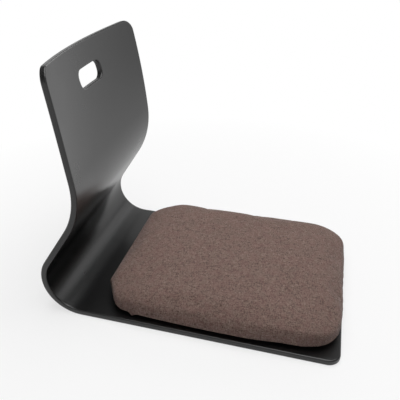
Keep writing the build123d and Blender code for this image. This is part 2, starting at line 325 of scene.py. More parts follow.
def mouldedGroup():
    # cast metal or moulded nylon with a fine skin, cloudy gloss and small bare scuffs
    group, w, given, result = newGroup("mouldedSkin", [
        ("Place", "Vector", None), ("Gloss", "Float", 0.35), ("Scuffed", "Float", 0.3),
        ("Base", "Color", (0.02, 0.02, 0.02, 1)), ("Bare", "Color", (0.2, 0.2, 0.2, 1)),
    ])
    place = given.outputs["Place"]
    skin, cloud = w.noise(place, 2600.0, 2.0), w.noise(place, 300.0, 4.0, 0.7)
    scratch = w.noise(w.scaled(place, 400.0, 3000.0, 3000.0), 1.0, 2.0)
    bare = w.spread(w.math("ADD", cloud, w.math("MULTIPLY", scratch, 0.3)), 0.72, 0.82)
    scuff = w.math("MULTIPLY", bare, given.outputs["Scuffed"])
    w.feed(result, "Color", w.mix(scuff, given.outputs["Base"], given.outputs["Bare"]))
    w.feed(result, "Roughness", w.math("MULTIPLY_ADD", cloud, 0.2, given.outputs["Gloss"]))
    w.feed(result, "Height", w.math("MULTIPLY_ADD", scratch, 0.6, skin))
    return group


woven, lacquered, pile, moulded = threadGroup(), plyGroup(), pileGroup(), mouldedGroup()


def newMaterial(name, group, values, attribute=None, bump=0.3, bumpDepth=0.0003, **shader):
    # a Principled shader fed by one of the groups; plain numbers go on the shader's own sockets
    material = bpy.data.materials.new(name)
    material.use_nodes = True
    w = Wires(material.node_tree)
    bsdf = material.node_tree.nodes["Principled BSDF"]
    effect = w.add("Group", {"node_tree": group})
    if attribute:
        w.feed(effect, "Place", w.add("Attribute", {"attribute_name": attribute}).outputs["Vector"])
    else:
        w.feed(effect, "Place", w.add("TexCoord").outputs["Object"])
    if "Rim" in effect.inputs:
        w.feed(effect, "Rim", w.add("Attribute", {"attribute_name": "edgeShare"}).outputs["Fac"])
    for key, value in values.items():
        w.feed(effect, key, value)
    w.feed(bsdf, "Base Color", effect.outputs["Color"])
    w.feed(bsdf, "Roughness", effect.outputs["Roughness"])
    relief = w.add("Bump", None, Height=effect.outputs["Height"], Strength=bump, Distance=bumpDepth)
    w.feed(bsdf, "Normal", relief.outputs[0])
    for key, value in shader.items():
        w.feed(bsdf, key.replace("_", " "), value)
    return material


def gray(value, warm=0.0):
    return (value * (1 + warm), value, value * (1 - warm), 1)


lacquer = newMaterial(
    "blackLacquer", lacquered, {"Base": (0.0065, 0.0065, 0.0067, 1), "Worn": gray(0.018, 0.05), "Gloss": 0.29},
    attribute="sheetPlace", bump=0.12, bumpDepth=0.0002, Specular_IOR_Level=0.56,
)
weave = newMaterial(
    "brownWeave", woven, {
        "Pitch": 0.0012, "Slub": 3.3, "Cloud": 0.0,
        "Dark": (0.090, 0.051, 0.041, 1), "Light": (0.340, 0.243, 0.206, 1),
        "Tint": (0.245, 0.128, 0.116, 1), "Tinted": 0.24,
    }, attribute="weavePlace", bump=0.7, bumpDepth=0.0004,
    Sheen_Weight=0.1, Sheen_Roughness=0.5, Specular_IOR_Level=0.2,
)
weltCloth = newMaterial(
    "brownWelt", woven, {
        "Pitch": 0.0012, "Slub": 2.0, "Dark": (0.055, 0.030, 0.024, 1), "Light": (0.23, 0.165, 0.14, 1),
    }, bump=0.5, Specular_IOR_Level=0.2,
)
thread = newMaterial(
    "brownThread", moulded, {"Base": (0.075, 0.045, 0.036, 1), "Bare": (0.16, 0.11, 0.09, 1), "Gloss": 0.55},
    bump=0.5, bumpDepth=0.0001,
)
blackThread = newMaterial(
    "blackThread", moulded, {"Base": gray(0.02), "Bare": gray(0.05), "Gloss": 0.5}, bump=0.5, bumpDepth=0.0001,
)
backing = newMaterial(
    "darkBacking", woven, {
        "Pitch": 0.0008, "Slub": 0.9, "Dark": gray(0.018, 0.06), "Light": gray(0.055, 0.06), "Tinted": 0.0,
    }, bump=0.5, Specular_IOR_Level=0.2, Sheen_Weight=0.1,
)
tape = newMaterial(
    "brownTape", woven, {
        "Pitch": 0.0005, "Slub": 0.6, "Tinted": 0.0,
        "Dark": (0.070, 0.042, 0.034, 1), "Light": (0.135, 0.088, 0.073, 1),
    }, bump=0.4, bumpDepth=0.0001, Specular_IOR_Level=0.3,
)
coilNylon = newMaterial(
    "brownNylon", moulded, {
        "Base": (0.085, 0.052, 0.043, 1), "Bare": (0.16, 0.11, 0.09, 1), "Gloss": 0.28, "Scuffed": 0.2,
    }, bump=0.2, bumpDepth=0.00005,
)
enamel = newMaterial(
    "brownEnamel", moulded, {
        "Base": (0.050, 0.032, 0.027, 1), "Bare": (0.42, 0.40, 0.37, 1), "Gloss": 0.25, "Scuffed": 0.4,
    }, bump=0.15, bumpDepth=0.00005, Metallic=0.6, Coat_Weight=0.4, Coat_Roughness=0.2,
)
# Ground is the painted shade between tufts and Tip the painted light on their tips
hooks = newMaterial(
    "hookTape", pile, {"Pitch": 0.0011, "Jitter": 0.15, "Ground": gray(0.012), "Tip": gray(0.085)},
    bump=1.0, bumpDepth=0.0006, Specular_IOR_Level=0.5,
)
loops = newMaterial(
    "loopTape", pile, {"Pitch": 0.0014, "Jitter": 1.0, "Ground": gray(0.010), "Tip": gray(0.040)},
    bump=1.0, bumpDepth=0.0008, Sheen_Weight=0.6, Sheen_Roughness=0.6, Specular_IOR_Level=0.2,
)


shell = {
    "seatLength": 0.469, "frontWidth": 0.360, "bendWidth": 0.365,
    "waistWidth": 0.354, "shoulderWidth": 0.360, "topWidth": 0.349,
    "bendRadius": 0.060, "bendAngle": 122.5, "leanLength": 0.082,
    "lumbarRadius": 0.166, "lumbarAngle": 38.5,
    "upperRadius": 1.9, "upperLength": 0.187,
    "dishStart": 0.028, "dishDepth": 0.026,
    "waistPlace": 0.105, "shoulderPlace": 0.235,
    "frontCorner": 0.022, "topCorner": 0.024,
    "gripWidth": 0.085, "gripHeight": 0.0335, "gripCorner": 0.014, "gripDrop": 0.059,
    "arris": 0.0026,        # rounding of the sanded edges
    "thickness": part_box("face_veneer")[0][2] + 0.0009,
    "frontY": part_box("back_veneer")[0][1],
    # cells of the flat grid: in a corner zone, along the seat and bend, beside the grip's block, and in the block
    "cornerCells": 6, "runCells": 150, "sideCells": 12, "blockRows": 12, "blockColumns": 18,
    "blockRoomY": 0.011, "blockRoomX": 0.012,
}
shell["bendRun"] = shell["bendRadius"] * math.radians(shell["bendAngle"])
shell["lumbarRun"] = shell["lumbarRadius"] * math.radians(shell["lumbarAngle"])
shell["backLength"] = shell["leanLength"] + shell["lumbarRun"] + shell["upperLength"]
shell["total"] = shell["seatLength"] + shell["bendRun"] + shell["backLength"]


def shellProfile(run):
    # Side view of the sitter's face. run is the distance from the front edge: straight seat, rear bend, straight
    # lean, lumbar counter bend, upper back. On each stretch the heading grows by distance over radius.
    stretches = [
        (shell["seatLength"], 0.0),
        (shell["bendRun"], 1 / shell["bendRadius"]),
        (shell["leanLength"], 0.0),
        (shell["lumbarRun"], -1 / shell["lumbarRadius"]),
        (shell["upperLength"], -1 / shell["upperRadius"]),
    ]
    y = np.full_like(run, shell["frontY"])
    z = np.full_like(run, shell["thickness"])
    heading = np.zeros_like(run)
    start = 0.0
    for length, curvature in stretches:
        step = np.clip(run - start, 0, length)
        turned = heading + curvature * step
        if curvature:
            y = y + (np.sin(turned) - np.sin(heading)) / curvature
            z = z - (np.cos(turned) - np.cos(heading)) / curvature
        else:
            y = y + step * np.cos(heading)
            z = z + step * np.sin(heading)
        heading = turned
        start += length
    return y, z, heading


def shellHalfWidth(run):
    # straight taper along the seat, then eased changes to the waist and the shoulders, and a square law to the top
    past = run - shell["seatLength"] - shell["bendRun"]
    seat = shell["frontWidth"] + (shell["bendWidth"] - shell["frontWidth"]) * np.clip(run / shell["seatLength"], 0, 1)
    waist = shell["bendWidth"] + (shell["waistWidth"] - shell["bendWidth"]) * ease(past / shell["waistPlace"])
    rise = (past - shell["waistPlace"]) / (shell["shoulderPlace"] - shell["waistPlace"])
    shoulder = shell["waistWidth"] + (shell["shoulderWidth"] - shell["waistWidth"]) * ease(rise)
    end = (past - shell["shoulderPlace"]) / (shell["backLength"] - shell["shoulderPlace"])
    top = shell["shoulderWidth"] + (shell["topWidth"] - shell["shoulderWidth"]) * np.clip(end, 0, 1) ** 2
    width = np.where(past < 0, seat, np.where(past < shell["waistPlace"], waist, shoulder))
    return np.where(past > shell["shoulderPlace"], top, width) / 2


def shellSurface(run, across, depth):
    # a point this deep under the sitter's face; the back is hollow across by a parabola that deepens to the top
    y, z, heading = shellProfile(run)
    past = run - shell["seatLength"] - shell["bendRun"]
    hollow = shell["dishDepth"] * ease((past - shell["dishStart"]) / (shell["backLength"] - shell["dishStart"]))
    under = depth + hollow * (1 - np.clip(np.abs(across) / shellHalfWidth(run), 0, 1) ** 2)
    return np.stack([across, y + under * np.sin(heading), z - under * np.cos(heading)], -1)


def shellFlatGrid():
    # The developed sheet as rows along the run and columns across it, short of the outline by the arris. In each
    # corner zone a square patch is bent to a quarter disc: p times the root of 1 minus half of q squared.
    arris, low, high = shell["arris"], shell["arris"], shell["total"] - shell["arris"]
    frontR, topR = shell["frontCorner"] - arris, shell["topCorner"] - arris
    hole = shell["total"] - shell["gripDrop"]
    blockHigh = shell["gripHeight"] / 2 + arris + shell["blockRoomY"]
    blockWide = shell["gripWidth"] / 2 + arris + shell["blockRoomX"]
    cells, runCells, sideCells = shell["cornerCells"], shell["runCells"], shell["sideCells"]
    rows = np.concatenate([
        np.linspace(low, low + frontR, cells + 1)[:-1],
        np.linspace(low + frontR, hole - blockHigh, runCells + 1)[:-1],
        np.linspace(hole - blockHigh, hole + blockHigh, shell["blockRows"] + 1)[:-1],
        np.linspace(hole + blockHigh, high - topR, 2)[:-1],
        np.linspace(high - topR, high, cells + 1),
    ])
    blockColumn = blockWide / (shellHalfWidth(np.array(hole)) - arris - topR)
    columns = np.concatenate([
        np.linspace(-2, -1, cells + 1)[:-1],
        np.linspace(-1, -blockColumn, sideCells + 1)[:-1],
        np.linspace(-blockColumn, blockColumn, shell["blockColumns"] + 1)[:-1],
        np.linspace(blockColumn, 1, sideCells + 1)[:-1],
        np.linspace(1, 2, cells + 1),
    ])
    run, column = np.meshgrid(rows, columns, indexing="ij")
    zone = frontR + (topR - frontR) * run / shell["total"]
    inner = shellHalfWidth(run) - arris - zone
    p = np.clip(np.abs(column) - 1, 0, 1)
    front = np.clip((low + frontR - run) / frontR, 0, 1)
    top = np.clip((run - high + topR) / topR, 0, 1)
    q = front + top
    bentP, bentQ = p * np.sqrt(1 - q ** 2 / 2), q * np.sqrt(1 - p ** 2 / 2)
    across = np.sign(column) * (np.clip(np.abs(column), 0, 1) * inner + bentP * zone)
    run = np.where(front > 0, low + frontR - bentQ * frontR, run)
    run = np.where(top > 0, high - topR + bentQ * topR, run)
    firstRow, firstColumn = cells + runCells, cells + sideCells
    block = (firstRow, firstRow + shell["blockRows"], firstColumn, firstColumn + shell["blockColumns"])
    return run, across, block


def ringOrder(firstRow, lastRow, firstColumn, lastColumn):
    # anticlockwise walk round a block of the grid, each corner once
    bottom = [(firstRow, j) for j in range(firstColumn, lastColumn)]
    right = [(i, lastColumn) for i in range(firstRow, lastRow)]
    top = [(lastRow, j) for j in range(lastColumn, firstColumn, -1)]
    left = [(i, firstColumn) for i in range(lastRow, firstRow, -1)]
    return np.array(bottom + right + top + left)


def rimProfile(steps=5):
    # quarter round, straight edge, quarter round: how far out of the inset outline, and how deep
    arris, thick = shell["arris"], shell["thickness"]
    turn = np.linspace(0, math.pi / 2, steps)
    out = np.concatenate([arris * np.sin(turn), arris * np.ones(5), arris * np.sin(turn[::-1])])
    edge = np.linspace(arris, thick - arris, 7)[1:-1]
    deep = np.concatenate([arris * (1 - np.cos(turn)), edge, thick - arris * (1 - np.cos(turn[::-1]))])
    return out, deep


def buildShell():
    run, across, block = shellFlatGrid()
    rowCount, columnCount = run.shape
    out, deep = rimProfile()
    thick = shell["thickness"]
    patches, quads, facts = [], [], []

    def addPatch(runs, crosses, depths, rim, closed, flip=False):
        start = sum(len(patch) for patch in patches)
        rows, columns = runs.shape
        patches.append(shellSurface(runs, crosses, depths).reshape(-1, 3))
        facts.append(np.stack([crosses, runs, depths, rim], -1).reshape(-1, 4))
        faces = gridQuads(rows, columns, start, closed)
        quads.append(faces[:, ::-1] if flip else faces)

    # the two faces, without the block that the grip hole stands in
    keep = np.ones((rowCount - 1, columnCount - 1), dtype=bool)
    keep[block[0]:block[1], block[2]:block[3]] = False
    for depth, flip in ((0.0, False), (thick, True)):
        addPatch(run, across, np.full_like(run, depth), np.zeros_like(run), False, flip)
        quads[-1] = quads[-1][keep.ravel()]

    # rings between the block and the hole's outline, then the hole's own rim
    walk = ringOrder(*block)
    outer = np.stack([across[walk[:, 0], walk[:, 1]], run[walk[:, 0], walk[:, 1]]], -1)
    holeMiddle = np.array([0.0, shell["total"] - shell["gripDrop"]])
    grow = shell["arris"]
    loop, normal = roundedLoop(
        shell["gripWidth"] / 2 + grow, shell["gripHeight"] / 2 + grow, shell["gripCorner"] + grow,
        block[3] - block[2], block[1] - block[0],
    )
    loop = loop + holeMiddle
    shares = ease(np.linspace(0, 1, 6))[:, None, None] * 0.5 + np.linspace(0, 1, 6)[:, None, None] * 0.5
    rings = outer[None] * (1 - shares) + loop[None] * shares
    for depth, flip in ((0.0, False), (thick, True)):
        addPatch(rings[..., 1], rings[..., 0], np.full(rings.shape[:2], depth), np.zeros(rings.shape[:2]), True, flip)
    rim = loop[None] - normal[None] * out[:, None, None]
    depths = np.repeat(deep[:, None], len(loop), 1)
    addPatch(rim[..., 1], rim[..., 0], depths, np.repeat((out / grow)[:, None], len(loop), 1), True)

    # the outer rim, pushed out of the inset outline along its own normals
    walk = ringOrder(0, rowCount - 1, 0, columnCount - 1)
    line = np.stack([across[walk[:, 0], walk[:, 1]], run[walk[:, 0], walk[:, 1]]], -1)
    tangent = np.roll(line, -1, 0) - np.roll(line, 1, 0)
    tangent /= np.linalg.norm(tangent, axis=1, keepdims=True)
    outward = np.stack([tangent[:, 1], -tangent[:, 0]], -1)
    rim = line[None] + outward[None] * out[:, None, None]
    depths = np.repeat(deep[:, None], len(line), 1)
    addPatch(rim[..., 1], rim[..., 0], depths, np.repeat((out / grow)[:, None], len(line), 1), True)

    piece = makeMesh("mouldedShell", np.concatenate(patches), np.concatenate(quads))
    facts = np.concatenate(facts)
    addAttribute(piece, "sheetPlace", facts[:, :3])
    addAttribute(piece, "edgeShare", facts[:, 3])
    weld(piece)
    smooth(piece)
    weighted = piece.modifiers.new("faceNormals", "WEIGHTED_NORMAL")
    weighted.weight = 80
    return piece


cushion = {
    "width": 0.350, "length": 0.428, "corner": 0.062,
    "hemInset": 0.008, "rollHeight": 0.008, "sideHeight": 0.0365,
    "crownInset": 0.150, "crownRise": 0.0155, "crownFullness": 2.0,
    "bottom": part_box("cover_base")[1][2],
    "middleY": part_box("back_veneer")[0][1] + 0.005 + 0.428 / 2,
    "sideBow": 0.005, "rearBow": 0.014, "frontBow": 0.005,     # how far each edge draws in towards its corners
    "bowPower": 6,
    "voxel": 0.005, "pressure": 0.9, "tension": 20, "bend": 1.2, "steps": 20, "cap": 0.007,
    # the filled pad is stretched to these
    "reachX": 0.1780, "frontReach": -0.2685, "rearReach": 0.1635, "topHeight": 0.0675,
    "cornerDrop": 0.13,
    # how far the plan's corners stand out of their even rounding: near rear, far rear, near front
    "cornerPush": (0.0060, -0.003, 0.003), "nearRearGain": 2.4,
    "frontTaper": 0.004, "taperReach": 0.17, "taperStart": -0.11, "taperRun": 0.07,
    "hollowFrom": 0.03, "hollowRun": 0.015, "puckerRise": 0.010, "puckerSpread": 0.016,
    "hollow": 0.0005, "pucker": 0.0006, "puckerPitch": 0.021,
    "tuck": (-0.165, 0.100, 0.019), "tuckSize": 0.0060, "tuckMove": (-0.0060, 0.0, -0.0040),
}


def cushionRings():
    # cross section from the hem to the crown: how far in from the plan's outline, and how high
    c = cushion
    inset = [c["hemInset"], c["hemInset"] * 0.62, c["hemInset"] * 0.28, c["hemInset"] * 0.07, 0, 0, 0]
    height = [0, c["rollHeight"] * 0.2, c["rollHeight"] * 0.5, c["rollHeight"] * 0.8, c["rollHeight"],
              (c["rollHeight"] + c["sideHeight"]) / 2, c["sideHeight"]]
    share = (np.arange(1, 25) / 24) ** 1.7
    inset += list(c["crownInset"] * share)
    height += list(c["sideHeight"] + c["crownRise"] * np.sqrt(1 - (1 - share) ** c["crownFullness"]))
    return np.array(inset), np.array(height)


def cushionSurface():
    # rounded rectangles stacked on the cross section, with edges that draw in towards the corners
    c = cushion
    halfX, halfY = c["width"] / 2, c["length"] / 2
    rings = []
    for side, level in zip(*cushionRings()):
        loop = roundedLoop(halfX - side, halfY - side, min(c["corner"], halfX - side - 0.001), 60, 72)[0]
        rings.append(np.column_stack([loop, np.full(len(loop), c["bottom"] + level)]))
    points = np.array(rings)
    x, y = points[..., 0], points[..., 1]
    power = c["bowPower"]
    bowX = c["sideBow"] * np.abs(y / halfY) ** 2 * x / halfX
    bowY = np.where(y > 0, c["rearBow"], c["frontBow"]) * np.abs(x / halfX) ** power * y / halfY
    points[..., 0] = x - bowX
    points[..., 1] = y - bowY + c["middleY"]
    return points


def buildCushion():
    points = cushionSurface()
    rows, columns = points.shape[:2]
    bottomCap = list(range(columns))[::-1]
    topCap = [(rows - 1) * columns + k for k in range(columns)]
    piece = makeMesh("cushionCover", points, gridQuads(rows, columns, closed=True), [bottomCap, topCap])
    weld(piece)
    blowUp(piece)
    setVertices(piece, fitToPlan(vertexArray(piece)))
    setVertices(piece, relax(vertexArray(piece)))
    cutZipWindow(piece)
    addAttribute(piece, "weavePlace", weavePlace(vertexArray(piece)))
    return smooth(piece)


def blowUp(piece):
    # closed shape, remeshed evenly and swollen as cloth under pressure, no point moving further than the cap
    c = cushion
    remesh = piece.modifiers.new("evenMesh", "REMESH")
    remesh.mode = "VOXEL"
    remesh.voxel_size = c["voxel"]
    applyModifiers(piece)
    start = vertexArray(piece)
    pinned = piece.vertex_groups.new(name="rests")
    low = np.nonzero(start[:, 2] < c["bottom"] + 0.002)[0]
    pinned.add(low.tolist(), 1.0, "REPLACE")
    cloth = piece.modifiers.new("filling", "CLOTH")
    settings = cloth.settings
    settings.use_pressure = True
    settings.uniform_pressure_force = c["pressure"]
    settings.vertex_group_mass = pinned.name
    settings.tension_stiffness = c["tension"]
    settings.compression_stiffness = 12
    settings.shear_stiffness = 8
    settings.bending_stiffness = c["bend"]
    settings.effector_weights.gravity = 0
    cloth.point_cache.frame_start = 1
    cloth.point_cache.frame_end = c["steps"]
    for step in range(1, c["steps"] + 1):
        bpy.context.scene.frame_set(step)
    evaluated = piece.evaluated_get(bpy.context.evaluated_depsgraph_get())
    swollen = np.empty(len(evaluated.data.vertices) * 3)
    evaluated.data.vertices.foreach_get("co", swollen)
    move = swollen.reshape(-1, 3) - start
    far = np.linalg.norm(move, axis=1, keepdims=True)
    move *= np.minimum(1, c["cap"] / np.maximum(far, 1e-9))
    piece.modifiers.remove(cloth)
    piece.vertex_groups.remove(pinned)
    setVertices(piece, start + move)
    print("cushion blown up: points", len(start), "largest move", float(far.max()))
    finer = piece.modifiers.new("finer", "SUBSURF")
    finer.levels = finer.render_levels = 1
    applyModifiers(piece)


def applyModifiers(piece):
    graph = bpy.context.evaluated_depsgraph_get()
    graph.update()
    evaluated = piece.evaluated_get(graph)
    fresh = bpy.data.meshes.new_from_object(evaluated, preserve_all_data_layers=True, depsgraph=graph)
    piece.modifiers.clear()
    old, piece.data = piece.data, fresh
    bpy.data.meshes.remove(old)


def fitToPlan(points):
    # stretched along each axis so that the filled pad reaches the plan's outline and the crown's height
    c = cushion
    low, high = points.min(0), points.max(0)
    print("filled pad from", low.round(4), "to", high.round(4))
    y = np.interp(points[:, 1], [low[1], c["middleY"], high[1]], [c["frontReach"], c["middleY"], c["rearReach"]])
    z = c["bottom"] + (points[:, 2] - low[2]) * (c["topHeight"] - c["bottom"]) / (high[2] - low[2])
    return np.stack([points[:, 0] * c["reachX"] / high[0], y, z], -1)


def relax(points):
    # Corners let down by a fourth-power law, shallow hollows in the top from products of sines, puckers that fade
    # up the sides from the base seam, corners pushed along the plan's outward direction, a taper of the near side
    # towards the front, one tuck of loose cloth, and a straight band where the stiff zip is sewn in.
    c = cushion
    points = points.copy()
    x, y, z = points.T
    plan = np.abs(x / c["reachX"]) ** 4 * np.abs((y - c["middleY"]) / (c["length"] / 2)) ** 4
    rise = z - c["bottom"]
    z = c["bottom"] + rise * (1 - c["cornerDrop"] * plan)
    high = ease((rise - c["hollowFrom"]) / c["hollowRun"])
    z = z + c["hollow"] * high * (np.sin(61 * x + 1.1) * np.sin(47 * y + 0.4) + 0.7 * np.sin(96 * x + 37 * y))
    outX, outY, away = outward(x, y)
    angle = np.arctan2(outY, outX)
    place = (x * np.abs(outY) + y * np.abs(outX)) + 0.05 * angle
    wave = np.sin(2 * math.pi * place / c["puckerPitch"] + 2.2 * np.sin(place * 31))
    wave = wave * (0.6 + 0.4 * np.sin(place * 83))
    low = ease(away / 0.5) * ease(1 - np.abs(rise - c["puckerRise"]) / c["puckerSpread"])
    x = x + c["pucker"] * low * wave * outX
    y = y + c["pucker"] * low * wave * outY
    z = z + 0.8 * c["pucker"] * low * wave
    nearRear, farRear, nearFront = c["cornerPush"]
    diagonal = 4 * outX ** 2 * outY ** 2 * ease(away)
    rearPush = np.where(x < 0, nearRear * c["nearRearGain"] * outX ** 4, farRear * ease(rise / 0.02))
    push = diagonal * np.where(y > c["middleY"], rearPush, nearFront * (x < 0))
    x, y = x + push * outX, y + push * outY
    x = x + c["frontTaper"] * ease(-x / c["taperReach"]) * ease((c["taperStart"] - y) / c["taperRun"])
    distance = np.linalg.norm(np.stack([x, y, z], -1) - np.array(c["tuck"]), axis=1)
    pull = np.exp(-(distance / c["tuckSize"]) ** 2)
    x, y, z = (axis + pull * move for axis, move in zip((x, y, z), c["tuckMove"]))
    band = ease((zipper["bandHigh"] - np.abs(z - zipper["middleZ"])) / zipper["bandFadeZ"])
    band = band * ease((zipper["bandWide"] - np.abs(x)) / zipper["bandFadeX"]) * (y > zipper["rearFrom"])
    y = y + band * np.maximum(zipper["faceY"] - y, 0)
    z = np.maximum(z, c["bottom"])
    return np.stack([x, y, z], -1)


def outward(x, y):
    # the plan's outward direction, and how far into the rounded edge zone a place is, from 0 to 1 and beyond
    c = cushion
    y = y - c["middleY"]
    overX = np.maximum(np.abs(x) - (c["width"] / 2 - c["corner"]), 0)
    overY = np.maximum(np.abs(y) - (c["length"] / 2 - c["corner"]), 0)
    far = np.maximum(np.hypot(overX, overY), 1e-6)
    return np.sign(x) * overX / far, np.sign(y) * overY / far, far / c["corner"]


def cutZipWindow(piece):
    # the rear side is cut along the window's outline, and what lies inside goes back behind the tapes
    halfX, halfZ, lip = zipper["windowX"], zipper["windowZ"], zipper["lip"]
    work = bmesh.new()
    work.from_mesh(piece.data)
    steps = [(sign, extra) for sign in (-1, 1) for extra in (0, lip)]
    cuts = [((sign * (halfX + extra), 0, 0), (1, 0, 0)) for sign, extra in steps]
    cuts += [((0, 0, zipper["middleZ"] + sign * (halfZ + extra)), (0, 0, 1)) for sign, extra in steps]
    for place, direction in cuts:
        near = [face for face in work.faces if (
            face.calc_center_median().y > zipper["rearFrom"]
            and abs(face.calc_center_median().x) < halfX + zipper["roomX"]
            and abs(face.calc_center_median().z - zipper["middleZ"]) < halfZ + zipper["roomZ"])]
        geometry = near + list({edge for face in near for edge in face.edges})
        geometry += list({v for face in near for v in face.verts})
        bmesh.ops.bisect_plane(work, geom=geometry, dist=1e-6, plane_co=place, plane_no=direction)
    work.to_mesh(piece.data)
    work.free()
    points = vertexArray(piece)
    inside = (np.abs(points[:, 0]) < halfX + 1e-5) & (np.abs(points[:, 2] - zipper["middleZ"]) < halfZ + 1e-5)
    points[inside & (points[:, 1] > zipper["rearFrom"]), 1] = zipper["pocketY"]
    setVertices(piece, points)


def weavePlace(points):
    # the cloth's own coordinates: plan place on top, and further out by the drop where it runs down the sides
    c = cushion
    outX, outY, away = outward(points[:, 0], points[:, 1])
    drop = (c["topHeight"] - points[:, 2]) * ease(away)
    return np.stack([points[:, 0] + outX * drop, points[:, 1] + outY * drop, points[:, 2]], -1)


zipBox = np.array(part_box("zip_tape_upper"))
zipper = {
    "middleZ": (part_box("zip_tape_lower")[0][2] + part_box("zip_tape_upper")[1][2]) / 2,
    "pocketY": zipBox[0][1] - 0.0031, "faceY": zipBox[1][1] + 0.0006,
    "windowX": zipBox[1][0] + 0.004, "windowZ": 0.0060, "lip": 0.0008,
    "rearFrom": 0.14, "roomX": 0.012, "roomZ": 0.010,     # where faces near the window are looked for
    "bandHigh": 0.017, "bandFadeZ": 0.008, "bandWide": 0.127, "bandFadeX": 0.010,
    "weltWidth": 0.0026, "weltRise": 0.0008,
    "stitchPitch": 0.0031, "stitchLength": 0.0023, "stitchRadius": 0.00028, "stitchOut": 0.0042,
}


def weltSurface(steps=7):
    # a half-elliptic fold of cloth carried round the window's rounded outline
    loop, normal = roundedLoop(zipper["windowX"] + 0.0008, zipper["windowZ"] + 0.0008, 0.0015, 80, 8)
    turn = np.linspace(0, math.pi, steps)[:, None]
    out = zipper["weltWidth"] / 2 * (1 - np.cos(turn))
    rise = zipper["weltRise"] * np.sin(turn) - 0.0012 * (np.abs(np.cos(turn)) > 0.99)
    x = loop[None, :, 0] + normal[None, :, 0] * out
    z = loop[None, :, 1] + normal[None, :, 1] * out + zipper["middleZ"]
    points = np.stack([x, zipper["faceY"] + rise + 0 * x, z], -1)
    return points.reshape(-1, 3), gridQuads(steps, len(loop), 0, True)


def buildZipTrim():
    welt = joinPatches("zipWelt", [weltSurface()])
    out = zipper["stitchOut"]
    loop = roundedLoop(zipper["windowX"] + out, zipper["windowZ"] + out, 0.004, 80, 8)[0]
    loop = np.concatenate([loop, loop[:1]])
    path = np.stack([loop[:, 0], np.full(len(loop), zipper["faceY"] + 0.0001), loop[:, 1] + zipper["middleZ"]], -1)
    up = np.tile([0.0, 1.0, 0.0], (len(path), 1))
    row = threadLoops(path, up, zipper["stitchPitch"], zipper["stitchLength"], zipper["stitchRadius"])
    return welt, joinPatches("zipStitches", [row])


base = {
    "low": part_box("cover_base")[0][2], "high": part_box("cover_base")[1][2] + 0.0004,
    "halfX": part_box("cover_base")[1][0], "halfY": (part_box("cover_base")[1][1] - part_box("cover_base")[0][1]) / 2,
    "corner": 0.056, "seamInset": 0.005, "seamDepth": 0.0005, "seamWidth": 0.0018,
    "stitchPitch": 0.0042, "stitchLength": 0.0030, "stitchRadius": 0.0003,
}


def buildBase():
    # a thin sheet from rings of rounded rectangles; underneath a shallow groove runs round it where it is sewn on
    inset = np.array([
        0.1, 0.05, 0.02, 0.0085, 0.0068, 0.0059, 0.005, 0.0041, 0.0032, 0.0015, 0.0003, 0, 0.0003, 0.002])
    groove = base["seamDepth"] * np.exp(-((inset - base["seamInset"]) / base["seamWidth"] * 1.7) ** 2)
    height = base["low"] + groove
    height[-3:] = [base["low"] + 0.0005, base["high"] - 0.0003, base["high"]]
    rings = []
    for side, level in np.column_stack([inset, height]):
        corner = max(base["corner"] - side, 0.01)
        loop = roundedLoop(base["halfX"] - side, base["halfY"] - side, corner, 48, 56)[0]
        rings.append(np.column_stack([loop[:, 0], loop[:, 1] + cushion["middleY"], np.full(len(loop), level)]))
    points = np.array(rings)
    rows, columns = points.shape[:2]
    lowCap = list(range(columns))[::-1]
    highCap = [(rows - 1) * columns + k for k in range(columns)]
    panel = smooth(weld(makeMesh("basePanel", points, gridQuads(rows, columns, closed=True), [lowCap, highCap])))
    seam = base["seamInset"]
    loop = roundedLoop(base["halfX"] - seam, base["halfY"] - seam, base["corner"] - seam, 48, 56)[0]
    loop = np.concatenate([loop, loop[:1]])
    level = np.full(len(loop), base["low"] + base["seamDepth"])
    path = np.stack([loop[:, 0], loop[:, 1] + cushion["middleY"], level], -1)
    down = np.tile([0.0, 0.0, -1.0], (len(path), 1))
    row = threadLoops(path, down, base["stitchPitch"], base["stitchLength"], base["stitchRadius"])
    return panel, joinPatches("baseStitches", [row])


patches = {
    "halfX": 0.025, "halfY": 0.015, "corner": 0.003, "spaceX": 0.115, "spaceY": 0.150,
    "border": 0.0022, "low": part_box("cushion_loop_patches")[0][2],
    "stitchPitch": 0.0026, "stitchLength": 0.0019, "stitchRadius": 0.00022,
}


def buildPatchStitches():
    # a rectangle of stitches just inside the border of each patch that is sewn under the cushion
    p = patches
    loop = roundedLoop(p["halfX"] - p["border"], p["halfY"] - p["border"], 0.001, 20, 12)[0]
    loop = np.concatenate([loop, loop[:1]])
    rows = []
    for signX in (-1, 1):
        for signY in (-1, 1):
            path = np.stack([
                loop[:, 0] + signX * p["spaceX"], loop[:, 1] + signY * p["spaceY"] + cushion["middleY"],
                np.full(len(loop), p["low"] + 0.00005)], -1)
            down = np.tile([0.0, 0.0, -1.0], (len(path), 1))
            rows.append(threadLoops(path, down, p["stitchPitch"], p["stitchLength"], p["stitchRadius"]))
    return joinPatches("patchStitches", rows)


finishPiece(
    buildShell(), "shell", lacquer,
    ["face_veneer", "back_veneer"] + [f"core_ply_{n}" for n in range(1, 8)],
)
cover = finishPiece(buildCushion(), "cushion", weave, ["cover_top", "foam_core"])
panel, baseStitches = buildBase()
finishPiece(panel, "cushion", backing, ["cover_base"])
finishPiece(baseStitches, "cushion", blackThread)
finishPiece(buildPatchStitches(), "cushion", blackThread)
welt, zipStitches = buildZipTrim()
finishPiece(welt, "cushion", weltCloth)
finishPiece(zipStitches, "cushion", thread)

